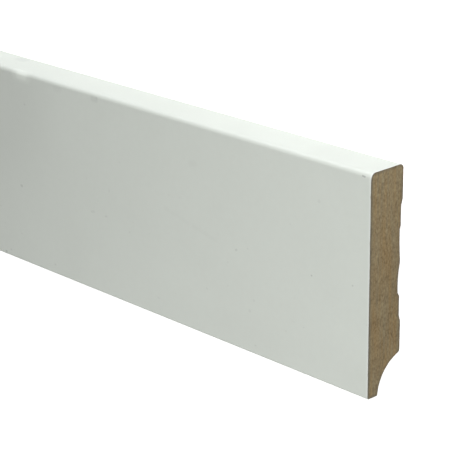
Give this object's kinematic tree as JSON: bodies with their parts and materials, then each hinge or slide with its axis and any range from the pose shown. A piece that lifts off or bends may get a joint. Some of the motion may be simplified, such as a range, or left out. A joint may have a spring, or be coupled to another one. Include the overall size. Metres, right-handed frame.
{
  "type": "skirting board length",
  "caption": "Straight length of white painted MDF skirting board: plain face, rounded top edge, grooved back and a cove behind the bottom edge.",
  "frame": {"origin": "under the middle of the board, on the plane of the two lands of its back", "axes": "+X along the board, +Y from its bottom edge to its top edge, +Z out of its painted face; stored lying on its back"},
  "size_m": [2.4, 0.09, 0.018],
  "materials": {
    "paint": "satin white factory paint on MDF, on the face, the top edge and the rounded corners",
    "bare_mdf": "bare MDF, matt and fibrous, on the cut ends, the back and the cove"
  },
  "bodies": {
    "root": {"skirting_board": "paint"}
  },
  "joints": []
}
